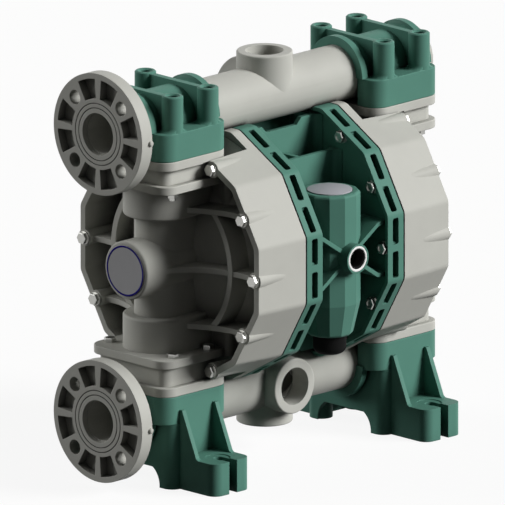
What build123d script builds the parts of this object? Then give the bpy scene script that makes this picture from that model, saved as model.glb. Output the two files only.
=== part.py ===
from build123d import *
import os
from math import cos, radians, sin, sqrt

# Air operated double diaphragm pump with flanged 1 1/2 inch manifolds.
# Millimetres. X runs along the manifolds, the air inlet faces -Y, the feet stand on Z = 0.
# Left means -X, the flanged end, and right means +X.

# Whole pump
manifold_height = 84.85     # lower manifold axis above the floor
column_x = 179.2            # axis of each liquid column, from the middle
face_gap = 0.25             # clearance of moulded parts slid over each other
rim_gap = 0.3               # setback of the diaphragm edge from the rims beside it
cut_over = 1.0              # how far a cutting shape runs past the part

# Twelve-sided chambers
chamber_sides = 12
chamber_apothem = 154.0
chamber_corner = 12.0
chamber_margin = 24.35      # from the chamber's flat top to the manifold axis
bolt_inset = 9.8            # from the chamber's flat side to the bolt circle
bolt_angles = (0, 30, 60, 120, 150, 180, 210, 240, 300, 330)

# Air plates, the green rings
plate_in_x = 55.3           # rim of the ring nearest the middle
plate_out_x = 81.8          # face that clamps the diaphragm
plate_floor_x = 60.5        # sunk middle face, where nuts and centre block seat
plate_web = 6.0
plate_lip = 4.5
nut_pocket_r = 8.9
slot_width = 9.8
slot_length = 32.5
slot_x = 68.5
slot_web = 9.0
slot_corner = 2.5
slot_depth = 28.0
room_inset = 37.0           # from the chamber's flat side to the pump and air rooms
air_room_slope = 5.0
notch_gap = 2.3             # free room between chamber rims and manifold pipes

# Liquid casings
diaphragm_t = 2.3
strip_x = 98.0              # end of the solid twelve-sided rim
shell_end_x = 161.0
shell_draft = 2.8           # the shell narrows this much towards its end
shell_wall = 8.0
shell_gap_y = 68.0          # the shell stops beside the columns
shell_gap_rise = 92.0
dome_radius = 232.0
dome_apex_x = 153.3
dome_wall = 9.0
dome_edge_inset = 5.0
casing_boss_r = 10.25
casing_boss_root_r = 8.2
rib_t = 6.5
rib_rise = 72.0
rib_sink = 3.0              # ribs start this far inside what they grow from
mid_rib_x = 214.0           # the level rib starts here on the snout
mid_rib_knee = (181.0, 50.0)
side_rib_knee = 12.0
ring_rib_inset = 55.0
ring_rib_t = 7.5
ring_rib_x = 157.5
column_r = 29.9
column_bore_r = 20.0
collar_r = 43.4
collar_length = 41.1
collar_round = 3.0
web_root_x = 110.0          # column and collars run back to here, inside the dome
web_half_height = 80.0
backing_x = 132.0           # face of the wall behind the column's bolting flanges
backing_y = 71.0
backing_round = 8.0
snout_r = 36.0
snout_x = 235.5
snout_bore_r = 16.0
disc_r = 31.6
disc_t = 1.2

# Column flanges and valve cages
flange_half_x = 56.0
flange_half_y = 66.0
flange_corner = 20.0
flange_edge = 1.2
casing_flange_t = 10.5
cage_height = 30.55
suction_cage_height = 35.0
foot_rise = 30.15           # foot top above the lower manifold axis
cage_plate_t = 11.5
cage_neck_in = 7.8
valve_room_r = 33.0
valve_room_roof = 6.4

# Ball valves
ball_r = 22.0
seat_bore_r = 17.0
seat_t = 8.0
seat_chamfer = 1.0
ball_play = 0.3
ball_lift = 9.0
finger_tip_r = 10.0
finger_t = 3.6
finger_w = 5.0
gasket_t = 2.0
gasket_w = 6.0

# Manifolds
pipe_r = 34.5
pipe_bore_r = 25.0
branch_r = 33.0
port_r = 34.0
port_bore_r = 23.0
port_thread = 27.0
port_throat_r = 21.0
port_reach = 51.45
port_round = 2.0
pipe_left_x = -275.5
pipe_right_x = 241.5
plug_r = 37.5
plug_t = 8.0
plug_round = 1.5
plug_spigot = 14.0

# Bolted pipe flanges, DN 40 PN 10
pipe_flange_x = -282.8
pipe_flange_t = 17.5
pipe_flange_r = 75.0
pipe_flange_bore_r = 26.0
pipe_flange_hole_r = 9.0
pipe_flange_pcd_r = 55.0
pipe_flange_hub_r = 43.5
pipe_flange_rim_r = 68.0
pocket_depth = 12.0
pocket_rib = 9.0
pocket_corner = 2.0
hole_boss_r = 17.5
groove_radii = (32.3, 38.0)
groove_half_w = 0.6
groove_depth = 0.9
nub_r = 3.2
nub_reach = 2.8
nub_root = 4.0

# Top caps and feet
band_t = 34.5
tower_r = 13.0
tower_height = 44.65        # above the band
tower_well_r = 7.0
tower_well_depth = 54.2
tower_mouth = 2.0
tower_edge = 1.5
tower_skirt = 5.0
clamp_x = 30.0
bridge_t = 8.5
bridge_drop = 2.2
saddle_wall = 3.7
arch_wall = 10.8
arch_t = 9.0
arch_out = 2.5              # the end arches stand out of the band
arch_blend = 10.0
leg_r = 14.0
pad_half_x = 31.0
pad_reach = 60.0            # beyond the band
pad_height = 40.0
pad_corner = 12.5
pad_slot_w = 13.0
pad_slot_in = 31.0
spot_face_r = 15.0
spot_face_shift = 5.0
spot_face_depth = 0.8
gusset_t = 6.0
gusset_drop = 17.0
gusset_land = 4.0
gusset_foot = 31.0
gusset_toe = (3.0, 2.0)
foot_wall = 8.0
foot_arch_z = 24.0
foot_arch_end = 8.0
foot_arch_run = 12.0
foot_arch_start = 4.0
foot_nut_drop = 14.0

# Fasteners
bolt_r = 4.0
bolt_hole_r = 4.25
head_af = 13.0
head_t = 5.3
head_chamfer = 0.8
washer_r = 8.0
washer_t = 1.6
nut_t = 6.5
flange_nut_t = 8.0
flange_nut_r = 8.4
flange_nut_rim = 1.8
nut_sink = 1.0              # bolt ends stay this far inside their flange nuts
bolt_stub = 4.0
blind_skin = 1.5            # left below the screws that end inside a flange
socket_play = 0.5

# Air section
wall_t = 6.0
wall_root = 10.0            # radius where the walls meet the air plates
front_wall_y = -62.0
front_wall_top = 108.0
front_wall_foot = 113.0
rear_wall_y = -29.0
rear_wall_top = 145.5
rear_notch_half = 25.5
rear_notch_depth = 8.0
hub_r = 44.0
hub_flange_r = 60.0
hub_flange_t = 9.0
hub_spigot_r = 30.0
housing_y = -110.5
housing_r = 37.0
housing_top = 77.3          # above the shaft axis
housing_shoulder = 60.2     # below the shaft axis
housing_foot = 101.2
housing_foot_r = 27.5
housing_neck_half = 24.0
housing_neck_drop = 12.0
housing_top_round = 4.0
housing_foot_round = 5.0
inlet_y = -158.5
inlet_collar_r = 18.0
inlet_ring_r = 15.9
inlet_bore_r = 10.5
inlet_ring_t = 16.0
inlet_step = 1.5
arm_t = 5.0
arm_rise = 32.0
arm_knee_x = 48.0
arm_bend = 12.0
arm_depth = 40.0
arm_set_back = 13.0
valve_cap_r = 27.3
valve_cap_rise = 4.0
valve_cap_sink = 1.6
valve_cap_gap = 0.7
valve_cap_edge = 1.0
valve_cap_spigot = 9.0
sleeve_r = 22.0
sleeve_bore_r = 15.0
sleeve_foot = 59.2          # below the shaft axis
sleeve_floor = 4.0
sleeve_top_gap = 0.5
sleeve_pitch = 16.0
sleeve_groove_half = 4.0
sleeve_groove_depth = 2.0
sleeve_port_r = 2.5
spool_play = 0.06
spool_length = 84.0
spool_shift = 12.0
spool_neck = 6.0
spool_groove_half = 9.0
spool_lands = (0.3, 0.7)
air_port_r = 5.0
air_port_x = 14.0
air_port_y = -38.0
muffler_r = 20.0
muffler_length = 24.0
muffler_round = 9.0
muffler_stem_r = 10.0
muffler_stem = 16.0
muffler_bore_r = 8.0
pilot_r = 3.5
pilot_drop = 23.0
pilot_reach = 5.0

# Shaft and diaphragms
shaft_r = 12.5
shaft_fit = 0.05
shaft_room = 1.0
bush_r = 16.0
bush_length = 22.0
stud_r = 8.0
stud_out = 6.0
stud_hole_play = 0.5
inner_disc_t = 4.0
inner_disc_round = 1.5
outer_disc_t = 6.0
outer_disc_land = 14.0
outer_disc_lip = 2.0
clamp_disc_r = 62.0
outer_disc_boss_r = 24.0
outer_disc_boss_t = 14.0
outer_disc_boss_slope = 5.0
fold_in_r = 70.0
fold_rise = 10.0
hub_screw_count = 6
hub_screw_r = 3.0
hub_screw_head_r = 5.6
hub_screw_circle_r = 52.0
hub_screw_length = 18.0

# Places worked out from the sizes above
manifold_rise = chamber_apothem + chamber_margin
centre_z = manifold_height + manifold_rise
top_axis_z = centre_z + manifold_rise
bottom_axis_z = manifold_height
shell_end_apothem = chamber_apothem - shell_draft
bolt_circle_r = chamber_apothem - bolt_inset
room_r = chamber_apothem - room_inset
ring_rib_r = chamber_apothem - ring_rib_inset
slot_floor_r = chamber_apothem - slot_depth
manifold_notch_r = pipe_r + notch_gap
top_cage_z = top_axis_z - pipe_r
foot_top_z = bottom_axis_z + foot_rise
casing_top_z = top_cage_z - cage_height
casing_bottom_z = foot_top_z + suction_cage_height
joint_x = plate_out_x + diaphragm_t
casing_boss_x = shell_end_x
web_face_x = plate_floor_x + plate_web
clamp_y = flange_half_y - tower_r
saddle_r = pipe_r + saddle_wall
arch_r = pipe_r + arch_wall
deck_z = top_cage_z + band_t
tower_top_z = deck_z + tower_height
tower_well_z = tower_top_z - tower_well_depth
foot_block_z = foot_top_z - band_t
foot_nut_z = foot_block_z - foot_nut_drop
pad_reach_y = flange_half_y + pad_reach
pad_slot_y = pad_reach_y - pad_slot_in
seat_drop = sqrt(ball_r**2 - seat_bore_r**2)
finger_gap = sqrt(ball_r**2 - finger_tip_r**2)
ball_seat_rise = seat_drop - seat_chamfer + ball_play
finger_rise = ball_seat_rise + ball_lift + finger_gap + ball_play
top_seat_z = casing_top_z - casing_flange_t - collar_length + valve_room_roof + seat_t
bottom_seat_z = casing_bottom_z
inner_disc_x = plate_out_x - inner_disc_t
housing_top_z = centre_z + housing_top
housing_shoulder_z = centre_z - housing_shoulder
housing_foot_z = centre_z - housing_foot
sleeve_foot_z = centre_z - sleeve_foot
sleeve_top_z = housing_top_z - valve_cap_spigot - sleeve_top_gap


def x_bar(radius, x0, x1, y=0, z=centre_z):
    """Round bar along X."""
    return Pos(x0, y, z) * extrude(Plane.YZ * Circle(radius), x1 - x0)


def y_bar(radius, y0, y1, x=0, z=centre_z):
    """Round bar along Y, from the lower y0 to the higher y1."""
    return Pos(x, y1, z) * extrude(Plane.XZ * Circle(radius), y1 - y0)


def z_bar(radius, z0, z1, x=0, y=0):
    """Round bar along Z."""
    return Pos(x, y, z0) * extrude(Circle(radius), z1 - z0)


def block(x0, x1, y0, y1, z0, z1):
    """Square-cornered block between two corners."""
    return Pos((x0 + x1) / 2, (y0 + y1) / 2, (z0 + z1) / 2) * Box(x1 - x0, y1 - y0, z1 - z0)


def rounded_plate(half_x, half_y, corner, z0, z1):
    """Plate with rounded corners, centred on the right column."""
    outline = RectangleRounded(2 * half_x, 2 * half_y, corner)
    return Pos(column_x, 0, z0) * extrude(outline, z1 - z0)


def column_plate(z0, z1):
    """One of the like-sized plates stacked on each column, with softened edges."""
    plate = rounded_plate(flange_half_x, flange_half_y, flange_corner, z0, z1)
    ends = plate.faces().sort_by(Axis.Z)
    return fillet(ends[0].edges() + ends[-1].edges(), flange_edge)


def twelve_gon(apothem):
    """Twelve-sided outline with rounded corners in the YZ plane, flat side at the top."""
    outline = RegularPolygon(apothem, chamber_sides, major_radius=False, rotation=15)
    return Plane.YZ * fillet(outline.vertices(), chamber_corner)


def twelve_bar(apothem, x0, x1):
    """Twelve-sided bar along X on the shaft axis."""
    return Pos(x0, 0, centre_z) * extrude(twelve_gon(apothem), x1 - x0)


def twelve_taper(apothem0, x0, apothem1, x1):
    """Tapered twelve-sided bar along X."""
    near = Pos(x0, 0, centre_z) * twelve_gon(apothem0)
    far = Pos(x1, 0, centre_z) * twelve_gon(apothem1)
    return loft([near, far])


def x_revolve(points):
    """Turn a closed outline of (x, radius) points about the shaft axis."""
    outline = make_face(Polyline(*[(x, r) for x, r in points], close=True))
    return Pos(0, 0, centre_z) * revolve(outline, Axis.X)


def bolt_places():
    """Y and Z of each casing bolt."""
    for angle in bolt_angles:
        turn = radians(angle)
        yield bolt_circle_r * cos(turn), centre_z + bolt_circle_r * sin(turn)


def clamp_places(x=column_x):
    """X and Y of the four clamp bolts of one column."""
    for sx in (-1, 1):
        for sy in (-1, 1):
            yield x + sx * clamp_x, sy * clamp_y


def level_span(z0, z1, x0, x1, half_y):
    """Block centred on Y = 0 between two heights given in either order."""
    return block(x0, x1, -half_y, half_y, min(z0, z1), max(z0, z1))


def manifold_notches(x0, x1):
    """Room for both manifold pipes through a chamber rim."""
    upper = x_bar(manifold_notch_r, x0, x1, z=top_axis_z)
    lower = x_bar(manifold_notch_r, x0, x1, z=bottom_axis_z)
    return upper + lower


def left_of(part):
    """The same part on the other side of the middle."""
    return mirror(part, about=Plane.YZ)


# Air plates


def air_plate():
    """Right air plate: slotted ring, sunk web and air room."""
    body = twelve_bar(chamber_apothem, plate_in_x, plate_out_x)
    body -= twelve_bar(chamber_apothem - plate_lip, plate_in_x, plate_floor_x)
    body -= x_revolve([
        (web_face_x, 0), (plate_out_x, 0), (plate_out_x, room_r), (web_face_x, room_r - air_room_slope),
    ])
    body -= x_bar(hub_spigot_r + face_gap, plate_floor_x, web_face_x)
    body -= x_bar(air_port_r, plate_floor_x, web_face_x, y=air_port_y)
    for y, z in bolt_places():
        body -= x_bar(bolt_hole_r, plate_in_x, plate_out_x, y, z)
        body -= x_bar(nut_pocket_r, plate_in_x, plate_floor_x, y, z)
    for place in hub_screw_places():
        body -= place * hub_screw(bolt_fit=face_gap)
    body -= slots()
    return body - manifold_notches(plate_in_x, plate_out_x)


def slots():
    """Two slots beside every bolt, leaving the wall of the bolt hole."""
    depth = slot_depth + cut_over
    middle = (slot_web + slot_length) / 2
    outline = Plane.XZ * RectangleRounded(slot_width, slot_length, slot_corner)
    slot = extrude(outline, -depth)
    pair = Pos(slot_x, slot_floor_r, middle) * slot + Pos(slot_x, slot_floor_r, -middle) * slot
    wall = extrude(Plane.YZ * Circle(nut_pocket_r - cut_over), slot_width / 2, both=True)
    pair -= Pos(slot_x, bolt_circle_r, 0) * wall
    return [Pos(0, 0, centre_z) * Rot(X=angle) * pair for angle in bolt_angles]


def hub_screw_places():
    """Screws that hold the right air plate to the centre block."""
    step = 360 / hub_screw_count
    for index in range(hub_screw_count):
        turn = Rot(X=step * (index + 0.5))
        yield Pos(web_face_x, 0, centre_z) * turn * Pos(0, hub_screw_circle_r, 0)


def hub_screw(bolt_fit=0.0):
    """Countersunk screw along -X with its head at the origin."""
    head_depth = hub_screw_head_r - hub_screw_r
    r = hub_screw_r + bolt_fit
    big = hub_screw_head_r + bolt_fit
    outline = Polyline(
        (0, 0), (0, big), (-head_depth, r), (-hub_screw_length, r), (-hub_screw_length, 0), close=True
    )
    return revolve(make_face(outline), Axis.X)


# Liquid casings


def casing():
    """Right casing: shell, domed floor, column, collars, ribs, bosses and snout."""
    body = twelve_taper(chamber_apothem, joint_x, shell_end_apothem, shell_end_x)
    body -= twelve_taper(
        chamber_apothem - shell_wall, strip_x, shell_end_apothem - shell_wall, shell_end_x + cut_over
    )
    reach = chamber_apothem + bolt_inset
    for side in (-1, 1):
        body -= level_span(
            centre_z + side * shell_gap_rise, centre_z + side * reach, strip_x, shell_end_x + cut_over,
            shell_gap_y,
        )
    body += dome(dome_radius, strip_x - cut_over, chamber_apothem - dome_edge_inset)
    for y, z in bolt_places():
        body += Pos(0, y, z) * casing_boss()
    body += casing_ribs()
    body += backing_walls()
    body += casing_column()
    snout = x_bar(snout_r, web_root_x, snout_x)
    body += fillet(snout.faces().sort_by(Axis.X)[-1].edges(), collar_round)
    body -= casing_room()
    for y, z in bolt_places():
        body -= x_bar(bolt_hole_r, joint_x, casing_boss_x, y, z)
    return body - manifold_notches(joint_x, dome_apex_x)


def dome(radius, x0, side_r):
    """Spherical cap on the shaft axis with a round side, from x0 to its top."""
    middle_x = dome_apex_x - dome_radius
    top_x = middle_x + radius
    edge_x = middle_x + sqrt(radius**2 - side_r**2)
    half_x = middle_x + sqrt(radius**2 - side_r**2 / 4)
    curve = ThreePointArc((edge_x, side_r), (half_x, side_r / 2), (top_x, 0))
    outline = curve + Polyline((top_x, 0), (x0, 0), (x0, side_r), (edge_x, side_r))
    return Pos(0, 0, centre_z) * revolve(make_face(outline), Axis.X)


def casing_boss():
    """Tapered bolt boss on the X axis."""
    outline = Polyline(
        (strip_x - cut_over, 0), (strip_x - cut_over, casing_boss_root_r), (casing_boss_x, casing_boss_r),
        (casing_boss_x, 0), close=True
    )
    return revolve(make_face(outline), Axis.X)


def backing_walls():
    """Walls that carry the column's bolting flanges on the chamber side."""
    walls = []
    for side, end_z in ((1, casing_top_z), (-1, casing_bottom_z)):
        wall = level_span(centre_z + side * rib_rise, end_z, strip_x - cut_over, backing_x, backing_y)
        corners = wall.faces().sort_by(Axis.X)[-1].edges().filter_by(Axis.Z)
        walls.append(fillet(corners, backing_round))
    return walls


def casing_column():
    """Liquid column with its two valve collars and bolting flanges."""
    column = back_bar(column_r, centre_z - web_half_height, centre_z + web_half_height)
    column += z_bar(column_r, casing_bottom_z, casing_top_z, column_x)
    foot_z = casing_bottom_z + casing_flange_t
    head_z = casing_top_z - casing_flange_t
    low = back_bar(collar_r, foot_z - cut_over, foot_z + collar_length)
    column += fillet(low.faces().sort_by(Axis.Z)[-1].edges(), collar_round)
    high = back_bar(collar_r, head_z - collar_length, head_z + cut_over)
    column += fillet(high.faces().sort_by(Axis.Z)[0].edges(), collar_round)
    column += column_plate(casing_bottom_z, foot_z)
    column += column_plate(head_z, casing_top_z)
    for x, y in clamp_places():
        column -= z_bar(bolt_hole_r, casing_bottom_z, foot_z, x, y)
        if x > column_x:
            column -= z_bar(bolt_hole_r, head_z, casing_top_z, x, y)
        else:
            column -= z_bar(bolt_r, head_z + blind_skin, casing_top_z, x, y)
    return column


def back_bar(radius, z0, z1):
    """Round bar on the column axis, run back into the dome at its full width."""
    depth = column_x - web_root_x
    outline = Circle(radius) + Pos(-depth / 2, 0) * Rectangle(depth, 2 * radius)
    return Pos(column_x, 0, z0) * extrude(outline, z1 - z0)


def casing_ribs():
    """Ring rib and three level ribs that stiffen the dome."""
    reach = ring_rib_r + ring_rib_t
    end_z = rib_rise + rib_t / 2
    ribs = x_bar(ring_rib_r + ring_rib_t / 2, web_root_x, ring_rib_x)
    ribs -= x_bar(ring_rib_r - ring_rib_t / 2, web_root_x, ring_rib_x)
    ribs &= level_span(centre_z - end_z, centre_z + end_z, web_root_x, ring_rib_x, reach)
    outer_y = bolt_circle_r - casing_boss_r / 2
    ring_y = ring_rib_r - rib_sink
    ribs += level_rib(
        0, (mid_rib_x, snout_r - rib_sink), mid_rib_knee, (ring_rib_x, ring_y), outer_y
    )
    side_y = collar_r - rib_sink
    side_ring_y = sqrt(ring_rib_r**2 - rib_rise**2)
    side_outer_y = sqrt(outer_y**2 - rib_rise**2)
    for side in (-1, 1):
        ribs += level_rib(
            side * rib_rise, (column_x - rib_sink, side_y),
            (ring_rib_x + 2 * rib_sink, side_ring_y - rib_sink),
            (ring_rib_x, side_ring_y + side_rib_knee), side_outer_y
        )
    return ribs


def level_rib(rise, root, knee, ring, outer_y):
    """Pair of level ribs at one height, each run from its root over a knee to a bolt boss."""
    pair = []
    for side in (-1, 1):
        edge = Spline(*[(x, side * y) for x, y in (root, knee, ring, (ring_rib_x, outer_y))])
        back = Polyline(
            (ring_rib_x, side * outer_y), (strip_x, side * outer_y), (strip_x, side * root[1]),
            (root[0], side * root[1]),
        )
        web = extrude(make_face(edge + back), rib_t / 2, both=True)
        pair.append(Pos(0, 0, centre_z + rise) * web)
    return pair


def casing_room():
    """Liquid spaces: pump room, snout passage, column bore and valve rooms."""
    room = dome(dome_radius - dome_wall, joint_x, room_r)
    room += x_bar(snout_bore_r, strip_x, column_x)
    foot_room = z_bar(valve_room_r, casing_bottom_z, bottom_seat_z + finger_rise + finger_t, column_x)
    head_room = z_bar(valve_room_r, top_seat_z - seat_t, casing_top_z, column_x)
    bore = z_bar(column_bore_r, casing_bottom_z, casing_top_z, column_x)
    return room + foot_room + head_room + bore


def boss_disc():
    """Plain round disc on the end of the right snout."""
    disc = x_bar(disc_r, snout_x, snout_x + disc_t)
    return chamfer(disc.faces().sort_by(Axis.X)[-1].edges(), disc_t / 3)


# Valve cages, seats, balls and guides


def top_cage():
    """Right discharge cage between casing and top manifold."""
    plate_z = top_cage_z - cage_plate_t
    neck_x = flange_half_x - cage_neck_in
    neck_y = flange_half_y - cage_neck_in
    neck_corner = flange_corner - cage_neck_in
    cage = column_plate(plate_z, top_cage_z)
    cage += rounded_plate(neck_x, neck_y, neck_corner, casing_top_z, plate_z)
    cage -= z_bar(valve_room_r, casing_top_z, top_seat_z + finger_rise + finger_t, column_x)
    cage -= z_bar(column_bore_r, casing_top_z, top_cage_z, column_x)
    cage -= gasket_ring(top_cage_z - gasket_t, column_bore_r + gasket_w / 2)
    cage -= gasket_ring(casing_top_z, valve_room_r + gasket_w / 2)
    return cage_holes(cage, casing_top_z, top_cage_z)


def bottom_cage():
    """Right suction cage between foot and casing, saddled over the bottom manifold."""
    plate_z = foot_top_z + cage_plate_t
    neck_x = flange_half_x - cage_neck_in
    neck_y = flange_half_y - cage_neck_in
    neck_corner = flange_corner - cage_neck_in
    seal_z = bottom_axis_z + pipe_r
    cage = column_plate(foot_top_z, plate_z)
    cage += rounded_plate(neck_x, neck_y, neck_corner, plate_z, casing_bottom_z)
    cage -= z_bar(valve_room_r, bottom_seat_z - seat_t, casing_bottom_z, column_x)
    cage -= z_bar(column_bore_r, foot_top_z, casing_bottom_z, column_x)
    side = flange_half_x + cut_over
    cage -= x_bar(pipe_r + face_gap, column_x - side, column_x + side, z=bottom_axis_z)
    cage -= z_bar(branch_r + face_gap, foot_top_z, seal_z, column_x)
    cage -= gasket_ring(seal_z, column_bore_r + gasket_w / 2)
    cage -= gasket_ring(casing_bottom_z - gasket_t, valve_room_r + gasket_w / 2)
    return cage_holes(cage, foot_top_z, casing_bottom_z)


def cage_holes(cage, z0, z1):
    """Clamp bolt holes, and relief beside the casing bolt bosses."""
    for x, y in clamp_places():
        cage -= z_bar(bolt_hole_r, z0, z1, x, y)
    for y, z in bolt_places():
        if abs(y) < flange_half_y + casing_boss_r and z0 < z + casing_boss_r and z - casing_boss_r < z1:
            cage -= x_bar(casing_boss_r + 4 * face_gap, strip_x, casing_boss_x + bolt_inset, y, z)
    return cage


def gasket_ring(z, inner_r):
    """Flat sealing ring of a right column joint, also the groove it lies in."""
    outline = Circle(inner_r + gasket_w) - Circle(inner_r)
    return Pos(column_x, 0, z) * extrude(outline, gasket_t)


def seat(top_z):
    """Right valve seat ring whose top edge carries the ball."""
    ring = z_bar(valve_room_r, top_z - seat_t, top_z, column_x)
    ring -= z_bar(seat_bore_r, top_z - seat_t, top_z, column_x)
    bore_edge = ring.faces().sort_by(Axis.Z)[-1].edges().sort_by(SortBy.RADIUS)[0]
    return chamfer(bore_edge, seat_chamfer)


def ball(seat_z):
    """Right valve ball just above its seat."""
    return Pos(column_x, 0, seat_z + ball_seat_rise) * Sphere(ball_r)


def ball_guide(seat_z):
    """Right ball guide: four ribs round the ball and four fingers above it."""
    roof_z = seat_z + finger_rise
    inner_r = ball_r + 2 * ball_play
    outer_r = valve_room_r - face_gap / 2
    ring = Pos(column_x, 0, roof_z) * extrude(Circle(outer_r) - Circle(outer_r - finger_t), finger_t)
    guide = ring
    for index in range(4):
        turn = Pos(column_x, 0, 0) * Rot(Z=45 + 90 * index)
        rib = block(inner_r, outer_r - finger_t / 2, -finger_w / 2, finger_w / 2, seat_z, roof_z + finger_t)
        tip = block(
            finger_tip_r, inner_r + cut_over, -finger_w / 2, finger_w / 2, roof_z, roof_z + finger_t
        )
        guide += turn * (rib + tip)
    return guide


# Manifolds


def manifold(axis_z, up):
    """One manifold pipe with two column branches and two threaded ports."""
    end_z = axis_z + port_reach * up
    thread_z = end_z - port_thread * up
    end_y = port_reach * up
    thread_y = end_y - port_thread * up
    outer = -1 if up > 0 else 0
    pipe = x_bar(pipe_r, pipe_left_x, pipe_right_x, z=axis_z)
    port = z_bar(port_r, min(axis_z, end_z), max(axis_z, end_z))
    pipe += fillet(port.faces().sort_by(Axis.Z)[outer].edges(), port_round)
    port = y_bar(port_r, min(0, end_y), max(0, end_y), z=axis_z)
    pipe += fillet(port.faces().sort_by(Axis.Y)[outer].edges(), port_round)
    seal_z = axis_z - up * pipe_r
    for side in (-1, 1):
        pipe += z_bar(branch_r, min(axis_z, seal_z), max(axis_z, seal_z), side * column_x)
    pipe -= x_bar(pipe_bore_r, pipe_left_x, pipe_right_x, z=axis_z)
    pipe -= z_bar(port_throat_r, min(axis_z, end_z), max(axis_z, end_z))
    pipe -= z_bar(port_bore_r, min(thread_z, end_z), max(thread_z, end_z))
    pipe -= y_bar(port_throat_r, min(0, end_y), max(0, end_y), z=axis_z)
    pipe -= y_bar(port_bore_r, min(thread_y, end_y), max(thread_y, end_y), z=axis_z)
    for side in (-1, 1):
        pipe -= z_bar(column_bore_r, min(axis_z, seal_z), max(axis_z, seal_z), side * column_x)
    return pipe


def end_plug(axis_z):
    """Plug that closes the right end of a manifold."""
    plug = x_bar(plug_r, pipe_right_x, pipe_right_x + plug_t, z=axis_z)
    plug = fillet(plug.faces().sort_by(Axis.X)[-1].edges(), plug_round)
    return plug + x_bar(pipe_bore_r, pipe_right_x - plug_spigot, pipe_right_x, z=axis_z)


def pipe_flange(axis_z):
    """Cored pipe flange: sealing hub, ribs, bolt bosses and rim."""
    back_x = pipe_flange_x + pipe_flange_t
    flange = x_bar(pipe_flange_r, pipe_flange_x, back_x, z=0)
    flange = fillet(flange.edges(), flange_edge)
    flange -= flange_pockets()
    for index in range(4):
        hole = Pos(pipe_flange_x, pipe_flange_pcd_r, 0) * extrude(
            Plane.YZ * Circle(pipe_flange_hole_r), pipe_flange_t
        )
        flange -= Rot(X=90 * index + 45) * hole
    flange -= x_bar(pipe_flange_bore_r, pipe_flange_x, pipe_left_x, z=0)
    flange -= x_bar(pipe_r, pipe_left_x, back_x, z=0)
    groove_x = pipe_flange_x + groove_depth
    for groove_r in groove_radii:
        groove = x_bar(groove_r + groove_half_w, pipe_flange_x, groove_x, z=0)
        flange -= groove - x_bar(groove_r - groove_half_w, pipe_flange_x, groove_x, z=0)
    nub = y_bar(nub_r, -pipe_flange_r - nub_reach, nub_root - pipe_flange_r, x=back_x - nub_r, z=0)
    flange += fillet(nub.faces().sort_by(Axis.Y)[0].edges(), nub_reach / 2)
    return Pos(0, 0, axis_z) * flange


def flange_pockets():
    """Cored pockets of a pipe flange, between its hub, rim, ribs and bolt bosses."""
    floor_x = pipe_flange_x + pocket_depth
    ring = x_bar(pipe_flange_rim_r, pipe_flange_x, floor_x, z=0)
    ring -= x_bar(pipe_flange_hub_r, pipe_flange_x, floor_x, z=0)
    for index in range(4):
        ring -= Rot(X=90 * index) * block(
            pipe_flange_x, floor_x, 0, pipe_flange_r, -pocket_rib / 2, pocket_rib / 2
        )
        boss = Pos(pipe_flange_x, pipe_flange_pcd_r, 0) * extrude(
            Plane.YZ * Circle(hole_boss_r), pocket_depth
        )
        ring -= Rot(X=90 * index + 45) * boss
    return [fillet(pocket.edges().filter_by(Axis.X), pocket_corner) for pocket in ring.solids()]


# Top caps and feet


def pipe_channel(axis_z, open_z):
    """Open-sided room for the manifold pipe through a cap or foot."""
    r = pipe_r + face_gap
    reach = flange_half_x + arch_out + cut_over
    channel = x_bar(r, column_x - reach, column_x + reach, z=axis_z)
    return channel + level_span(axis_z, open_z, column_x - reach, column_x + reach, r)


def arches(axis_z, over):
    """Saddle over the pipe and its two blended end arches, on the side given by over."""
    x1 = flange_half_x + arch_out
    arch_x = x1 - arch_t
    foot_x = arch_x - arch_blend
    low_point = (arch_x - arch_blend / 3, saddle_r + (arch_r - saddle_r) / 3)
    blend = ThreePointArc((arch_x, arch_r), low_point, (foot_x, saddle_r))
    outline = Polyline((foot_x, saddle_r), (0, saddle_r), (0, 0), (x1, 0), (x1, arch_r), (arch_x, arch_r))
    half = revolve(make_face(outline + blend), Axis.X)
    whole = half + mirror(half, about=Plane.YZ)
    whole &= level_span(0, over * arch_r, -x1, x1, arch_r)
    return Pos(column_x, 0, axis_z) * whole


def top_cap():
    """Right top cap: band, four bolt towers, two bridges and the pipe saddle."""
    cap = column_plate(top_cage_z, deck_z)
    bridge_top = tower_top_z - bridge_drop
    for side in (-1, 1):
        x = column_x + side * clamp_x
        cap += level_span(deck_z, bridge_top, x - bridge_t / 2, x + bridge_t / 2, clamp_y)
    cap += arches(top_axis_z, 1)
    inset = flange_edge
    inside = rounded_plate(
        flange_half_x - inset, flange_half_y - inset, flange_corner - inset, deck_z - cut_over, tower_top_z
    )
    for x, y in clamp_places():
        tower = z_bar(tower_r, deck_z - cut_over, tower_top_z, x, y)
        cap += chamfer(tower.faces().sort_by(Axis.Z)[-1].edges(), tower_edge)
        cap += (Pos(x, y, deck_z) * tower_foot()) & inside
    cap -= pipe_channel(top_axis_z, top_cage_z - cut_over)
    mouth_z = tower_top_z - tower_mouth / 2
    mouth = Cone(tower_well_r, tower_well_r + tower_mouth, tower_mouth)
    for x, y in clamp_places():
        cap -= z_bar(tower_well_r, tower_well_z, tower_top_z, x, y)
        cap -= Pos(x, y, mouth_z) * mouth
        cap -= z_bar(bolt_hole_r, top_cage_z, tower_well_z, x, y)
    return cap


def tower_foot():
    """Hollow-rounded skirt that blends a tower into the band."""
    outer = tower_r + tower_skirt
    lean = tower_skirt * (1 - sqrt(0.5))
    curve = ThreePointArc((outer, 0), (tower_r + lean, lean), (tower_r, tower_skirt))
    edges = Polyline(
        (tower_r, tower_skirt), (0, tower_skirt), (0, -cut_over), (outer, -cut_over), (outer, 0)
    )
    return revolve(Plane.XZ * make_face(curve + edges), Axis.Z)


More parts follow.
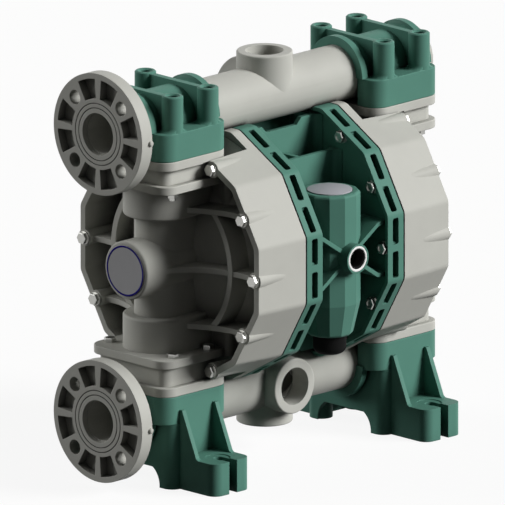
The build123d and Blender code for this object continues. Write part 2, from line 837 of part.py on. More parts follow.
def foot():
    """Right foot: band, four hollow legs, arched side walls, pads and gussets."""
    foot_body = column_plate(foot_block_z, foot_top_z)
    foot_body += arches(bottom_axis_z, -1)
    for x, y in clamp_places():
        foot_body += z_bar(leg_r, 0, foot_block_z + cut_over, x, y)
    wall_x = clamp_x + leg_r - foot_wall
    for side in (-1, 1):
        x0 = column_x + side * wall_x
        x1 = column_x + side * (wall_x + foot_wall)
        foot_body += side_wall(min(x0, x1), max(x0, x1))
        foot_body += pad(side)
    foot_body -= pipe_channel(bottom_axis_z, foot_top_z + cut_over)
    for x, y in clamp_places():
        foot_body -= z_bar(bolt_hole_r, 0, foot_top_z, x, y)
        foot_body -= z_bar(washer_r + socket_play, 0, foot_nut_z, x, y)
    return foot_body


def side_wall(x0, x1):
    """Wall between front and rear legs, with its lower edge cut to an arch."""
    wall = level_span(0, foot_block_z + cut_over, x0, x1, clamp_y)
    foot_y = clamp_y - foot_arch_end
    shoulder_y = foot_y - foot_arch_run
    rise = foot_arch_start
    high = foot_arch_z
    edge = Line((-foot_y, -cut_over), (-foot_y, rise))
    edge += Spline((-foot_y, rise), (rise - foot_y, high - foot_arch_end), (-shoulder_y, high))
    edge += Line((-shoulder_y, high), (shoulder_y, high))
    edge += Spline((shoulder_y, high), (foot_y - rise, high - foot_arch_end), (foot_y, rise))
    edge += Polyline((foot_y, rise), (foot_y, -cut_over), (-foot_y, -cut_over))
    return wall - Pos(x0, 0, 0) * extrude(Plane.YZ * make_face(edge), x1 - x0)


def pad(side):
    """Bolt-down pad with its open slot, the wall behind it and two gussets."""
    wall_y = flange_half_y
    slot_r = pad_slot_w / 2
    plate = block(-pad_half_x, pad_half_x, wall_y - foot_wall, pad_reach_y, 0, pad_height)
    plate = fillet(plate.edges().filter_by(Axis.Z).group_by(Axis.Y)[-1], pad_corner)
    plate += block(-pad_half_x, pad_half_x, wall_y - foot_wall, wall_y, 0, foot_block_z + cut_over)
    gusset_top = foot_top_z - gusset_drop
    toe_in, toe_up = gusset_toe
    toe_y = wall_y + gusset_foot
    edge = Polyline(
        (wall_y - cut_over, pad_height - cut_over), (wall_y - cut_over, gusset_top),
        (wall_y + gusset_land, gusset_top), (toe_y - toe_in, pad_height + toe_up), (toe_y, pad_height),
        (toe_y, pad_height - cut_over), close=True
    )
    for x0 in (-pad_half_x, pad_half_x - gusset_t):
        plate += Pos(x0, 0, 0) * extrude(Plane.YZ * make_face(edge), gusset_t)
    plate -= z_bar(slot_r, 0, pad_height, 0, pad_slot_y + slot_r)
    plate -= block(-slot_r, slot_r, pad_slot_y + slot_r, pad_reach_y + cut_over, 0, pad_height)
    plate -= z_bar(spot_face_r, pad_height - spot_face_depth, pad_height, 0, pad_slot_y + spot_face_shift)
    return Pos(column_x, 0, 0) * Rot(Z=90 - 90 * side) * plate


# Fasteners


def hexagon(flats):
    """Hexagon across the given flats."""
    return RegularPolygon(flats / 2, 6, major_radius=False)


def x_hex_bolt(head_x, end_x, y, z):
    """Hex bolt along X whose head stands outwards from head_x."""
    shank = x_bar(bolt_r, end_x, head_x, y, z)
    head = Pos(head_x, y, z) * extrude(Plane.YZ * hexagon(head_af), head_t)
    return shank + chamfer(head.faces().sort_by(Axis.X)[-1].edges(), head_chamfer)


def casing_bolts():
    """Ten bolts of the right casing."""
    head_x = casing_boss_x + washer_t
    end_x = plate_floor_x - flange_nut_t + nut_sink
    return [x_hex_bolt(head_x, end_x, y, z) for y, z in bolt_places()]


def casing_washers():
    """Ten washers of the right casing."""
    ring = extrude(Plane.YZ * (Circle(washer_r) - Circle(bolt_hole_r)), washer_t)
    return [Pos(casing_boss_x, y, z) * ring for y, z in bolt_places()]


def casing_nuts():
    """Ten flange nuts of the right casing, seated in the air plate."""
    body = extrude(Plane.YZ * hexagon(head_af), flange_nut_t)
    body = chamfer(body.faces().sort_by(Axis.X)[0].edges(), head_chamfer)
    rim = Pos(flange_nut_t, 0, 0) * extrude(Plane.YZ * Circle(flange_nut_r), -flange_nut_rim)
    nut = body + rim - extrude(Plane.YZ * Circle(bolt_r), flange_nut_t)
    return [Pos(plate_floor_x - flange_nut_t, y, z) * nut for y, z in bolt_places()]


def z_hex_bolt(head_z, end_z, x, y):
    """Hex bolt along Z whose head stands above head_z."""
    head = Pos(x, y, head_z) * extrude(hexagon(head_af), head_t)
    head = chamfer(head.faces().sort_by(Axis.Z)[-1].edges(), head_chamfer)
    return head + z_bar(bolt_r, end_z, head_z, x, y)


def socket_bolt(head_z, end_z, x, y):
    """Socket screw whose head stands in a tower well."""
    head = z_bar(tower_well_r - socket_play, head_z, head_z + 2 * bolt_r, x, y)
    head -= Pos(x, y, head_z + bolt_r) * extrude(hexagon(1.5 * bolt_r), bolt_r)
    return head + z_bar(bolt_r, end_z, head_z, x, y)


def clamp_nut(z, x, y):
    """Hex nut with its lower face at z."""
    return Pos(x, y, z) * extrude(hexagon(head_af) - Circle(bolt_r), nut_t)


def both_columns(make):
    """Make a fastener at every clamp place of both columns."""
    return [make(x, y) for side in (-1, 1) for x, y in clamp_places(side * column_x)]


def outer_only(make):
    """Make a fastener at the clamp places on the outer side of both columns."""
    return [make(side * (column_x + clamp_x), y) for side in (-1, 1) for y in (-clamp_y, clamp_y)]


def inner_only(make):
    """Make a fastener at the clamp places on the chamber side of both columns."""
    return [make(side * (column_x - clamp_x), y) for side in (-1, 1) for y in (-clamp_y, clamp_y)]


def clamp_fasteners():
    """Bolts and nuts that clamp caps and feet to the casings."""
    under_z = casing_top_z - casing_flange_t
    over_z = casing_bottom_z + casing_flange_t
    through_z = under_z - nut_t - bolt_stub
    blind_z = under_z + blind_skin
    nut_z = foot_nut_z - nut_t
    through = outer_only(lambda x, y: socket_bolt(tower_well_z, through_z, x, y))
    blind = inner_only(lambda x, y: socket_bolt(tower_well_z, blind_z, x, y))
    return {
        "clamp_bolts_top": through + blind,
        "clamp_nuts_top": outer_only(lambda x, y: clamp_nut(under_z - nut_t, x, y)),
        "clamp_bolts_bottom": both_columns(lambda x, y: z_hex_bolt(over_z, nut_z - bolt_stub, x, y)),
        "clamp_nuts_bottom": both_columns(lambda x, y: clamp_nut(nut_z, x, y)),
    }


# Air section


def centre_block():
    """Centre block: shaft hub, cross walls, valve housing, inlet boss and arms."""
    hub = x_bar(hub_r, -plate_floor_x, plate_floor_x)
    for side in (-1, 1):
        near = side * (plate_floor_x - hub_flange_t)
        far = side * plate_floor_x
        hub += x_bar(hub_flange_r, min(near, far), max(near, far))
        hub += x_bar(hub_spigot_r, min(far, side * web_face_x), max(far, side * web_face_x))
    body = hub + cross_walls() + valve_housing() + inlet_arms()
    body -= x_bar(shaft_r + shaft_room, -web_face_x, web_face_x)
    for side in (-1, 1):
        far = side * web_face_x
        near = side * (web_face_x - bush_length)
        body -= x_bar(bush_r, min(near, far), max(near, far))
    body -= x_bar(pilot_r + shaft_fit, -web_face_x, web_face_x, z=centre_z - pilot_drop)
    body -= z_bar(sleeve_r + shaft_fit, sleeve_foot_z - sleeve_floor, housing_top_z, y=housing_y)
    body -= z_bar(
        valve_cap_r + valve_cap_gap, housing_top_z - valve_cap_sink, housing_top_z, y=housing_y
    )
    body -= z_bar(muffler_bore_r, housing_foot_z, sleeve_foot_z, y=housing_y)
    body -= z_bar(muffler_stem_r, housing_foot_z, housing_foot_z + muffler_stem, y=housing_y)
    body -= y_bar(inlet_ring_r, inlet_y, inlet_y + inlet_ring_t)
    body -= y_bar(inlet_bore_r - inlet_step, inlet_y, housing_y - sleeve_r + 2 * cut_over)
    for side in (-1, 1):
        body -= y_bar(air_port_r, housing_y + sleeve_r - 2 * cut_over, air_port_y, x=side * air_port_x)
        near = side * air_port_x
        far = side * plate_floor_x
        body -= x_bar(air_port_r, min(near, far), max(near, far), y=air_port_y)
    for place in hub_screw_places():
        right = place * hub_screw()
        body -= right
        body -= left_of(right)
    return body


def flared_wall(y0, z0, z1):
    """Upright wall from y0 to its thickness, widened where it meets the air plates."""
    x1 = plate_floor_x
    r = wall_root
    wall = block(-x1, x1, y0, y0 + wall_t, z0, z1)
    for side in (-1, 1):
        near = side * (x1 - r)
        far = side * x1
        for edge_y, far_y in ((y0, y0 - r), (y0 + wall_t, y0 + wall_t + r)):
            root = block(
                min(near, far), max(near, far), min(edge_y, far_y), max(edge_y, far_y), z0, z1
            )
            wall += root - z_bar(r, z0, z1, near, far_y)
    return wall


def cross_walls():
    """Three upright walls between the air plates; the tall pair is notched for the manifolds."""
    top = rear_wall_top
    low = top - rear_notch_depth
    inner = rear_notch_half
    outer = inner + rear_notch_depth
    over = top + cut_over
    tall = flared_wall(rear_wall_y, centre_z - top, centre_z + top)
    notch = Polyline(
        (-outer, over), (-outer, top), (-inner, low), (inner, low), (outer, top), (outer, over), close=True
    )
    cut = extrude(Plane.XZ * make_face(notch), wall_t + 2 * wall_root)
    cut += mirror(cut, about=Plane.XY)
    tall -= Pos(0, rear_wall_y + wall_t + wall_root, centre_z) * cut
    front = flared_wall(front_wall_y, centre_z - front_wall_foot, centre_z + front_wall_top)
    web = block(
        -wall_t / 2, wall_t / 2, front_wall_y, -rear_wall_y, centre_z - front_wall_top,
        centre_z + front_wall_top,
    )
    return tall + mirror(tall, about=Plane.XZ) + front + web


def valve_housing():
    """Twelve-sided housing of the air valve, rounded on top and tapered at its foot."""
    outline = RegularPolygon(housing_r, chamber_sides, rotation=15)
    small = RegularPolygon(housing_foot_r, chamber_sides, rotation=15)
    shoulder = Pos(0, housing_y, housing_shoulder_z)
    upper = shoulder * extrude(outline, housing_top_z - housing_shoulder_z)
    upper = fillet(upper.faces().sort_by(Axis.Z)[-1].edges(), housing_top_round)
    lower = loft([Pos(0, housing_y, housing_foot_z) * small, shoulder * outline])
    lower = fillet(lower.faces().sort_by(Axis.Z)[0].edges(), housing_foot_round)
    neck = block(
        -housing_neck_half, housing_neck_half, housing_y, front_wall_y + cut_over, housing_shoulder_z,
        housing_top_z - housing_neck_drop,
    )
    return upper + lower + neck


def inlet_arms():
    """Inlet boss and the four arms that brace it to the air plates."""
    arms = y_bar(inlet_collar_r, inlet_y, housing_y)
    front_y = inlet_y + arm_set_back
    far_x = plate_floor_x + arm_t
    for side in (-1, 1):
        for rise in (-arm_rise, arm_rise):
            centre_line = FilletPolyline(
                (0, 0), (side * arm_knee_x, rise), (side * far_x, rise), radius=arm_bend
            )
            strip = Plane.XZ * make_face(offset(centre_line, arm_t / 2))
            arms += Pos(0, front_y + arm_depth, centre_z) * extrude(strip, arm_depth)
    high = 2 * arm_rise
    return arms & block(-plate_floor_x, plate_floor_x, inlet_y, 0, centre_z - high, centre_z + high)


def inlet_insert():
    """Threaded ring of the air inlet."""
    ring = y_bar(inlet_ring_r, inlet_y, inlet_y + inlet_ring_t)
    ring -= y_bar(inlet_bore_r, inlet_y, inlet_y + inlet_ring_t)
    return ring


def valve_cap():
    """Domed cap let into the top of the valve housing."""
    seat_z = housing_top_z - valve_cap_sink
    edge_z = housing_top_z + valve_cap_edge
    top_z = housing_top_z + valve_cap_rise
    rise = top_z - edge_z
    dome_r = (valve_cap_r**2 + rise**2) / (2 * rise)
    mid_z = top_z - dome_r + sqrt(dome_r**2 - valve_cap_r**2 / 4)
    dome_line = ThreePointArc((valve_cap_r, edge_z), (valve_cap_r / 2, mid_z), (0, top_z))
    foot_z = housing_top_z - valve_cap_spigot
    outline = dome_line + Polyline(
        (0, top_z), (0, foot_z), (sleeve_r, foot_z), (sleeve_r, seat_z), (valve_cap_r, seat_z),
        (valve_cap_r, edge_z)
    )
    return Pos(0, housing_y, 0) * revolve(Plane.XZ * make_face(outline), Axis.Z)


def valve_sleeve():
    """Ported sleeve of the main air valve."""
    sleeve = z_bar(sleeve_r, sleeve_foot_z, sleeve_top_z, y=housing_y)
    sleeve -= z_bar(sleeve_bore_r, sleeve_foot_z, sleeve_top_z, y=housing_y)
    middle_z = (sleeve_foot_z + sleeve_top_z) / 2
    half = sleeve_groove_half
    for step in range(-2, 3):
        z = middle_z + step * sleeve_pitch
        groove = z_bar(sleeve_r + cut_over, z - half, z + half, y=housing_y)
        sleeve -= groove - z_bar(sleeve_r - sleeve_groove_depth, z - half, z + half, y=housing_y)
        for turn in (0, 90):
            port = extrude(Plane.YZ * Circle(sleeve_port_r), sleeve_r, both=True)
            sleeve -= Pos(0, housing_y, z) * Rot(Z=turn) * port
    return sleeve


def valve_spool():
    """Spool of the main air valve, with three lands, at its lower stop."""
    foot_z = (sleeve_foot_z + sleeve_top_z - spool_length) / 2 - spool_shift
    land_r = sleeve_bore_r - spool_play
    half = spool_groove_half
    spool = z_bar(land_r, foot_z, foot_z + spool_length, y=housing_y)
    for share in spool_lands:
        z = foot_z + share * spool_length
        groove = z_bar(land_r + cut_over, z - half, z + half, y=housing_y)
        spool -= groove - z_bar(land_r - spool_neck, z - half, z + half, y=housing_y)
    return chamfer(spool.faces().sort_by(Axis.Z)[-1].edges(), cut_over)


def exhaust_muffler():
    """Porous exhaust muffler screwed into the foot of the valve housing."""
    body = z_bar(muffler_r, housing_foot_z - muffler_length, housing_foot_z, y=housing_y)
    body = fillet(body.faces().sort_by(Axis.Z)[0].edges(), muffler_round)
    return body + z_bar(muffler_stem_r, housing_foot_z, housing_foot_z + muffler_stem, y=housing_y)


# Shaft group


def shaft():
    """Shaft with a threaded stud at each end."""
    end_x = joint_x + outer_disc_t + stud_out
    bar = x_bar(shaft_r, -inner_disc_x, inner_disc_x)
    return bar + x_bar(stud_r, -end_x, end_x)


def shaft_bushes():
    """Two plain bushes of the shaft."""
    right = x_bar(bush_r, web_face_x - bush_length, web_face_x)
    right -= x_bar(shaft_r + shaft_fit, web_face_x - bush_length, web_face_x)
    right -= x_bar(pilot_r + 2 * shaft_fit, web_face_x - bush_length, web_face_x, z=centre_z - pilot_drop)
    return [right, left_of(right)]


def inner_disc():
    """Right air-side clamping disc."""
    disc = x_bar(clamp_disc_r, inner_disc_x, plate_out_x)
    disc = fillet(disc.faces().sort_by(Axis.X)[0].edges(), inner_disc_round)
    return disc - x_bar(stud_r, inner_disc_x, plate_out_x)


def outer_disc():
    """Right liquid-side clamping disc with its domed nut."""
    face_x = joint_x + outer_disc_t
    top_x = joint_x + outer_disc_boss_t
    disc = x_revolve([
        (joint_x, 0), (joint_x, clamp_disc_r), (joint_x + outer_disc_lip, clamp_disc_r),
        (face_x, clamp_disc_r - outer_disc_land), (face_x + outer_disc_lip, outer_disc_boss_r),
        (top_x, outer_disc_boss_r - outer_disc_boss_slope), (top_x, 0),
    ])
    return disc - x_bar(stud_r, joint_x, face_x + stud_out)


def diaphragm():
    """Right diaphragm: clamped rim, one rolled fold and a flat middle."""
    fold_out_r = room_r - cut_over
    rim = twelve_bar(chamber_apothem - rim_gap, plate_out_x, joint_x)
    rim -= x_bar(fold_out_r, plate_out_x, joint_x)
    mid_r = (fold_in_r + fold_out_r) / 2
    low, high = [
        ThreePointArc((x, fold_in_r), (x + fold_rise, mid_r), (x, fold_out_r))
        for x in (plate_out_x, joint_x)
    ]
    hole_r = stud_r + stud_hole_play
    outline = low + Polyline((plate_out_x, fold_out_r), (joint_x, fold_out_r)) + high
    outline += Polyline(
        (joint_x, fold_in_r), (joint_x, hole_r), (plate_out_x, hole_r), (plate_out_x, fold_in_r)
    )
    sheet = Pos(0, 0, centre_z) * revolve(make_face(outline), Axis.X)
    sheet += rim
    for y, z in bolt_places():
        sheet -= x_bar(bolt_hole_r, plate_out_x, joint_x, y, z)
    return sheet - manifold_notches(plate_out_x, joint_x)


def pilot_pin():
    """Pilot pin pushed by the inner discs near the end of each stroke."""
    reach = web_face_x + pilot_reach
    return x_bar(pilot_r, -reach, reach, z=centre_z - pilot_drop)


def pairs():
    """Parts that exist once on each side, made on the right."""
    return {
        "air_plate": air_plate(),
        "casing": casing(),
        "discharge_cage": top_cage(),
        "suction_cage": bottom_cage(),
        "discharge_seat": seat(top_seat_z),
        "suction_seat": seat(bottom_seat_z),
        "discharge_ball": ball(top_seat_z),
        "suction_ball": ball(bottom_seat_z),
        "top_cap": top_cap(),
        "foot": foot(),
        "diaphragm": diaphragm(),
        "inner_disc": inner_disc(),
        "outer_disc": outer_disc(),
        "boss_disc": boss_disc(),
        "casing_bolts": casing_bolts(),
    }


def groups():
    """Small parts of both sides that share one node."""
    screws = [place * hub_screw() for place in hub_screw_places()]
    return {
        "casing_washers": casing_washers(),
        "casing_nuts": casing_nuts(),
        "discharge_guides": [ball_guide(top_seat_z)],
        "suction_guides": [ball_guide(bottom_seat_z)],
        "cage_gaskets": [
            gasket_ring(casing_top_z, valve_room_r + gasket_w / 2),
            gasket_ring(casing_bottom_z - gasket_t, valve_room_r + gasket_w / 2),
        ],
        "branch_gaskets": [
            gasket_ring(top_cage_z - gasket_t, column_bore_r + gasket_w / 2),
            gasket_ring(bottom_axis_z + pipe_r, column_bore_r + gasket_w / 2),
        ],
        "hub_screws": screws,
    }


def singles():
    """Parts in the middle and along the manifolds."""
    return {
        "centre_block": centre_block(),
        "inlet_insert": inlet_insert(),
        "valve_cap": valve_cap(),
        "valve_sleeve": valve_sleeve(),
        "valve_spool": valve_spool(),
        "exhaust_muffler": exhaust_muffler(),
        "shaft": shaft(),
        "shaft_bushes": shaft_bushes(),
        "pilot_pin": pilot_pin(),
        "discharge_manifold": manifold(top_axis_z, 1),
        "suction_manifold": manifold(bottom_axis_z, -1),
        "discharge_flange": pipe_flange(top_axis_z),
        "suction_flange": pipe_flange(bottom_axis_z),
        "discharge_plug": end_plug(top_axis_z),
        "suction_plug": end_plug(bottom_axis_z),
    }


def as_list(part):
    """A part as a list of its solids."""
    return part if isinstance(part, list) else [part]


def save(name, part):
    """Write one node."""
    solids = [solid for piece in as_list(part) for solid in piece.solids()]
    export_step(solids[0] if len(solids) == 1 else Compound(children=solids), f"parts/{name}.step")


def main():
    os.makedirs("parts", exist_ok=True)
    for name, part in pairs().items():
        save(name + "_right", part)
        save(name + "_left", [left_of(piece) for piece in as_list(part)])
    for name, part in groups().items():
        save(name, as_list(part) + [left_of(piece) for piece in as_list(part)])
    for name, part in {**singles(), **clamp_fasteners()}.items():
        save(name, part)


main()
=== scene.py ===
import math

import bmesh
import bpy
from mathutils import Matrix, Vector


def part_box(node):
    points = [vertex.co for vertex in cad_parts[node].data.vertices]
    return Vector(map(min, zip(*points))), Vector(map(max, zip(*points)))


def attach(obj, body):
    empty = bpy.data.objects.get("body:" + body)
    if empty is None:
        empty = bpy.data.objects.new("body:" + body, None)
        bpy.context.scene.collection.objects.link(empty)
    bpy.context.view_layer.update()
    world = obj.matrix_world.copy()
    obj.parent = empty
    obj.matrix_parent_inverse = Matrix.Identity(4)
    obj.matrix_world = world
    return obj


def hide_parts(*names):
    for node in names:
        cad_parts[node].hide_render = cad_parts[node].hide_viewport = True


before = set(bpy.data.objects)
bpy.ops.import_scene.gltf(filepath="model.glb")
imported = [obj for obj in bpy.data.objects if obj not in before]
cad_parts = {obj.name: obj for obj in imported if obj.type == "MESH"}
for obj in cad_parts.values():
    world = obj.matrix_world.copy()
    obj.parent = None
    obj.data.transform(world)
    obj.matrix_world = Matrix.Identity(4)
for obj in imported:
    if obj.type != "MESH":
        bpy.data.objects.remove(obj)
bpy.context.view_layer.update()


# Camera
# The photograph is a parallel view from the front left, 15 degrees above level.
# Its picture is as wide as 606 mm of the pump.
VIEW_TURN = math.radians(-45)
VIEW_TILT = math.radians(15)
VIEW_WIDTH = 0.606
LOOK_AT = Vector((-0.0102, 0.0102, 0.2413))
CAMERA_AWAY = 2.0
SIGHT_END = 20.0

camera_data = bpy.data.cameras.new("photo_camera")
camera_data.type = "ORTHO"
camera_data.ortho_scale = VIEW_WIDTH
camera_data.clip_end = SIGHT_END
camera = bpy.data.objects.new("photo_camera", camera_data)
towards_camera = Vector((
    math.sin(VIEW_TURN) * math.cos(VIEW_TILT),
    -math.cos(VIEW_TURN) * math.cos(VIEW_TILT),
    math.sin(VIEW_TILT),
))
camera.location = LOOK_AT + CAMERA_AWAY * towards_camera
camera.rotation_euler = towards_camera.to_track_quat("Z", "Y").to_euler()
bpy.context.scene.collection.objects.link(camera)
bpy.context.scene.camera = camera
bpy.context.scene.view_settings.view_transform = "Standard"


# Studio floor
# A sheet of matt white card. The camera and the reflections see it nearly white,
# with the soft shadow that the pump leaves on it, and it throws little light back.
FLOOR_SIZE = 8.0
FLOOR_DROP = 0.0002
FLOOR_WHITE = "F4F4F2"
FLOOR_GLOW = 0.9
FLOOR_BOUNCE = "363636"


def linear(code):
    """Linear RGBA of an sRGB hex colour."""
    parts = [int(code[i:i + 2], 16) / 255 for i in (0, 2, 4)]
    return tuple(c / 12.92 if c <= 0.04045 else ((c + 0.055) / 1.055) ** 2.4 for c in parts) + (1.0,)


def add(tree, kind, settings=None, values=None, links=None):
    """Add one node, with its settings, socket values and incoming links."""
    made = tree.nodes.new(kind)
    for key, value in (settings or {}).items():
        setattr(made, key, value)
    for key, value in (values or {}).items():
        made.inputs[key].default_value = value
    for key, source in (links or {}).items():
        tree.links.new(source, made.inputs[key])
    return made


def new_material(name):
    """A material with its tree, shader and object coordinates."""
    material = bpy.data.materials.new(name)
    material.use_nodes = True
    tree = material.node_tree
    return material, tree, tree.nodes["Principled BSDF"], add(tree, "ShaderNodeTexCoord").outputs["Object"]


mesh = bpy.data.meshes.new("floor")
shape = bmesh.new()
bmesh.ops.create_grid(shape, x_segments=1, y_segments=1, size=FLOOR_SIZE / 2,
                      matrix=Matrix.Translation((0, 0, -FLOOR_DROP)))
shape.to_mesh(mesh)
shape.free()
floor = bpy.data.objects.new("floor", mesh)
bpy.context.scene.collection.objects.link(floor)
material, tree, card = new_material("matt_white_card")[:3]
card.inputs["Base Color"].default_value = linear(FLOOR_WHITE)
card.inputs["Roughness"].default_value = 0.9
rays = add(tree, "ShaderNodeLightPath")
seen = add(tree, "ShaderNodeMath", {"operation": "MAXIMUM"}, links={
    0: rays.outputs["Is Camera Ray"], 1: rays.outputs["Is Glossy Ray"],
})
glow = add(tree, "ShaderNodeEmission", values={"Color": (1, 1, 1, 1), "Strength": 1.0})
bright = add(tree, "ShaderNodeMixShader", values={"Fac": FLOOR_GLOW}, links={
    1: card.outputs[0], 2: glow.outputs[0],
})
dim = add(tree, "ShaderNodeBsdfDiffuse", values={"Color": linear(FLOOR_BOUNCE)})
blend = add(tree, "ShaderNodeMixShader", links={
    "Fac": seen.outputs[0], 1: dim.outputs[0], 2: bright.outputs[0],
})
tree.links.new(blend.outputs[0], tree.nodes["Material Output"].inputs["Surface"])
floor.data.materials.append(material)


# Studio light
# A key from the front right and above, so that the faces towards the pipe flanges
# stay in shade, a weak wide fill from the back left and above, and a faint sky.
SKY_LEVEL = 0.035
LAMPS = (
    ("key", 3.95, math.radians(28), Vector((0.50, -0.74, 0.45))),
    ("fill", 1.5, math.radians(40), Vector((-0.45, 0.75, 0.35))),
)

world = bpy.data.worlds.new("studio")
bpy.context.scene.world = world
world.use_nodes = True
tree = world.node_tree
rays = add(tree, "ShaderNodeLightPath")
sky = tree.nodes["Background"]
sky.inputs["Color"].default_value = (1, 1, 1, 1)
sky.inputs["Strength"].default_value = SKY_LEVEL
bright = add(tree, "ShaderNodeBackground", values={"Color": (1, 1, 1, 1), "Strength": 1.0})
seen = add(tree, "ShaderNodeMath", {"operation": "MAXIMUM"}, links={
    0: rays.outputs["Is Camera Ray"], 1: rays.outputs["Is Glossy Ray"],
})
blend = add(tree, "ShaderNodeMixShader", links={
    "Fac": seen.outputs[0], 1: sky.outputs[0], 2: bright.outputs[0],
})
tree.links.new(blend.outputs[0], tree.nodes["World Output"].inputs["Surface"])

for name, level, softness, lamp_from in LAMPS:
    lamp_data = bpy.data.lights.new(name, "SUN")
    lamp_data.energy = level
    lamp_data.angle = softness
    lamp = bpy.data.objects.new(name, lamp_data)
    lamp.rotation_euler = lamp_from.to_track_quat("Z", "Y").to_euler()
    bpy.context.scene.collection.objects.link(lamp)


# Liquid casings, valve cages, manifolds and end plugs
# Glass filled polypropylene in warm grey, injection moulded: a satin skin from the
# etched mould, slightly cloudy in gloss, and painted shade darkening its deep hollows.
GREY = "BCBCB5"
GREY_ROUGHNESS = 0.42
SKIN_MM = 1.0
CLOUD_MM = 30.0
EDGE_MM = 0.9
SHEEN = 0.05
PAINTED_SHADE_MM = 45.0
PAINTED_SHADE_FROM, PAINTED_SHADE_TO, PAINTED_SHADE_DARKEST = 0.12, 0.50, 0.12


def moulded(name, colour, roughness, skin=0.10, skin_mm=SKIN_MM, edge_mm=EDGE_MM, cloud=0.05):
    """Moulded plastic: fine etched skin, cloudy tint and gloss, painted shade in hollows, edges as the mould
    leaves them.
    """
    material, tree, shader, place = new_material(name)
    clouds = add(tree, "ShaderNodeTexNoise", values={"Scale": 1000 / CLOUD_MM, "Detail": 3.0}, links={
        "Vector": place,
    })
    flat = linear(colour)
    tint = add(tree, "ShaderNodeMix", {"data_type": "RGBA"}, links={"Factor": clouds.outputs["Fac"]})
    tint.inputs["A"].default_value = tuple((1 - cloud) * c for c in flat[:3]) + (1.0,)
    tint.inputs["B"].default_value = tuple((1 + cloud) * c for c in flat[:3]) + (1.0,)
    gloss = add(tree, "ShaderNodeMapRange", values={
        "From Min": 0.3, "From Max": 0.7, "To Min": roughness - 0.05, "To Max": roughness + 0.06,
    }, links={"Value": clouds.outputs["Fac"]})
    # Painted shade: the base colour is darkened where ambient occlusion finds other surfaces nearby, in
    # hollows, creases and between parts.
    occlusion = add(tree, "ShaderNodeAmbientOcclusion", {"samples": 6}, {"Distance": PAINTED_SHADE_MM / 1000})
    painted_shade = add(tree, "ShaderNodeMapRange", values={
        "From Min": PAINTED_SHADE_FROM, "From Max": PAINTED_SHADE_TO, "To Min": PAINTED_SHADE_DARKEST, "To Max": 1.0,
    }, links={"Value": occlusion.outputs["AO"]})
    tint_with_painted_shade = add(tree, "ShaderNodeVectorMath", {"operation": "SCALE"}, links={
        "Vector": tint.outputs["Result"], "Scale": painted_shade.outputs["Result"],
    })
    soft_edge = add(tree, "ShaderNodeBevel", {"samples": 6}, {"Radius": edge_mm / 1000})
    grain = add(tree, "ShaderNodeTexNoise", values={"Scale": 1000 / skin_mm, "Detail": 2.0}, links={
        "Vector": place,
    })
    bump = add(tree, "ShaderNodeBump", values={"Strength": skin, "Distance": 0.0002}, links={
        "Height": grain.outputs["Fac"], "Normal": soft_edge.outputs["Normal"],
    })
    tree.links.new(tint_with_painted_shade.outputs["Vector"], shader.inputs["Base Color"])
    tree.links.new(gloss.outputs["Result"], shader.inputs["Roughness"])
    tree.links.new(bump.outputs["Normal"], shader.inputs["Normal"])
    shader.inputs["IOR"].default_value = 1.49
    shader.inputs["Specular IOR Level"].default_value = SHEEN
    return material


def dress(material, *names):
    """Give CAD nodes their finish."""
    for name in names:
        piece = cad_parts[name]
        if not piece.data.materials:
            piece.data.materials.append(material)
        for slot in piece.material_slots:
            slot.material = material


def sides(*names):
    """Left and right nodes of these names."""
    return [name + side for name in names for side in ("_left", "_right")]


grey = moulded("grey_moulded_polypropylene", GREY, GREY_ROUGHNESS)
dress(grey, *sides("casing", "discharge_cage", "suction_cage", "outer_disc"), "discharge_manifold",
      "suction_manifold", "discharge_plug", "suction_plug")


# Pipe flanges
# The two bolted flanges of the same grey plastic, turned to the DN 40 drilling, with
# eight cored pockets between hub, spokes and the webs of the bolt holes, two sealing
# grooves and broken edges. Each is welded onto the end of its manifold.
FLANGE_R = 0.0750
FLANGE_T = 0.0175
SOCKET_R = 0.0345
SOCKET_DEPTH = 0.0102
FLANGE_BORE_R = 0.0260
HOLE_R = 0.0090
HOLE_CIRCLE_R = 0.0550
HUB_R = 0.0435
RIM_R = 0.0680
POCKET_DEPTH = 0.0120
POCKET_FROM, POCKET_TO = math.radians(4.4), math.radians(29.5)
GROOVES = (0.0323, 0.0380)
GROOVE_HALF, GROOVE_DEPTH = 0.0006, 0.0018
FLANGE_EDGE = 0.0008
NUB_R, NUB_OUT, NUB_IN, NUB_EDGE = 0.0032, 0.0028, 0.0040, 0.0012
TURN_STEPS = 144
SHARP_ANGLE = math.radians(30)
CUT_OVER = 0.001


def turn_outline(shape, points, centre, along=0, angle=math.tau, steps=TURN_STEPS):
    """Turn an outline of (place, radius) points about the X axis (0) or Y axis (1) through centre."""
    corners = []
    for place, radius in points:
        corner = centre + Vector((0, 0, radius))
        corner[along] = place
        corners.append(shape.verts.new(corner))
    geometry = corners + [shape.edges.new(pair) for pair in zip(corners, corners[1:] + corners[:1])]
    if angle < math.tau:
        geometry.append(shape.faces.new(corners))
    bmesh.ops.spin(shape, geom=geometry, cent=centre, axis=(along == 0, along == 1, 0), angle=angle,
                   steps=steps, use_merge=angle == math.tau)


def put(shape, name, material):
    """Make an object of a finished shape, smooth between its sharp edges."""
    bmesh.ops.recalc_face_normals(shape, faces=shape.faces)
    mesh = bpy.data.meshes.new(name)
    shape.to_mesh(mesh)
    shape.free()
    mesh.materials.append(material)
    mesh.shade_smooth()
    mesh.set_sharp_from_angle(angle=SHARP_ANGLE)
    made = bpy.data.objects.new(name, mesh)
    bpy.context.scene.collection.objects.link(made)
    return made


def hold(piece):
    """Fix a piece to the pump's body."""
    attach(piece, "root")


def finish(piece, *modifiers):
    """Put modifiers on a piece and keep their result as its mesh."""
    for kind, settings in modifiers:
        modifier = piece.modifiers.new(kind.lower(), kind)
        for key, value in settings.items():
            setattr(modifier, key, value)
    bpy.context.view_layer.update()
    result = bpy.data.meshes.new_from_object(piece.evaluated_get(bpy.context.evaluated_depsgraph_get()))
    piece.modifiers.clear()
    piece.data = result


